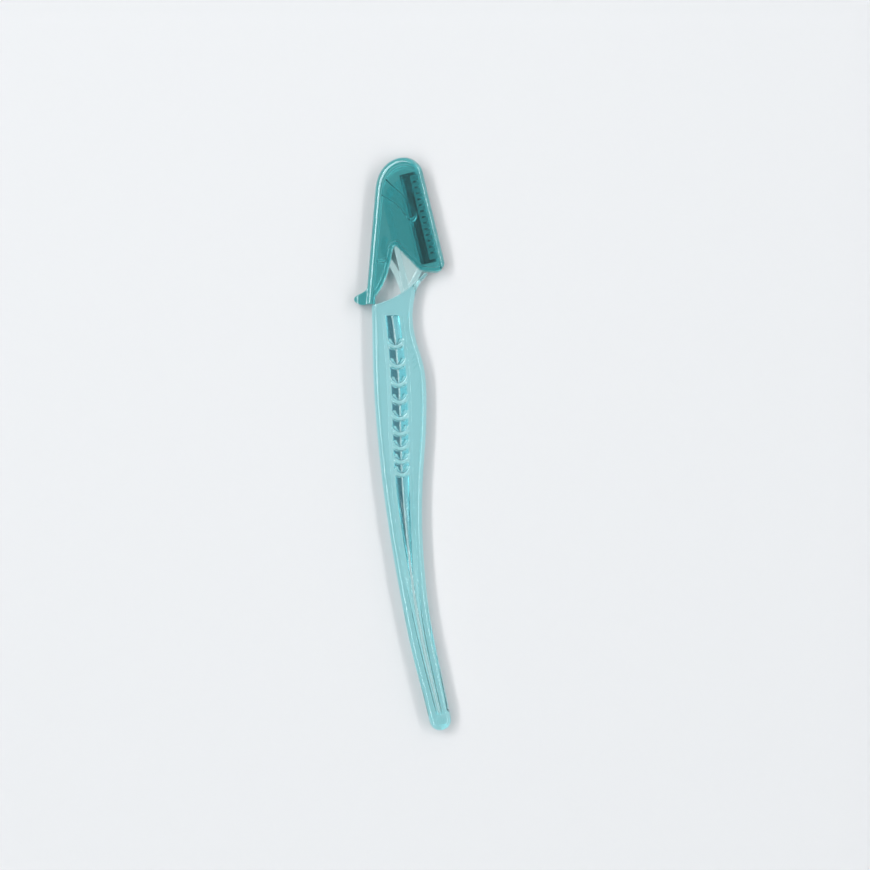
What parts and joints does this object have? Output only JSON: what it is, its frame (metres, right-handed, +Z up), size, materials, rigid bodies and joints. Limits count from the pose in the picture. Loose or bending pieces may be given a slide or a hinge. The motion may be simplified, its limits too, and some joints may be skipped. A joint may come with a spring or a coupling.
{
  "type": "eyebrow razor",
  "caption": "Slim disposable eyebrow razor: a curved, grooved and ribbed handle, a tilted guarded steel blade, and a tinted clear cap with a thumb lip that pulls straight off.",
  "frame": {"origin": "under the middle of the capped razor, on the plane that it lies on", "axes": "+Y along the handle towards the head, +X towards the cutting edge, +Z up out of the face that is seen"},
  "size_m": [0.024, 0.1504, 0.0052],
  "materials": {
    "handle_plastic": "tinted translucent, polished",
    "blade_steel": "polished",
    "guard_steel": "satin",
    "cap_plastic": "tinted clear, polished"
  },
  "bodies": {
    "razor": {"handle": "handle_plastic", "blade": "blade_steel", "blade_guard": "guard_steel"},
    "cap": {"cap": "cap_plastic"}
  },
  "joints": [
    {"name": "cap_slide", "type": "slide", "parent": "razor", "child": "cap", "axis": [0, 1, 0], "range_m": [0, 0.042]}
  ]
}
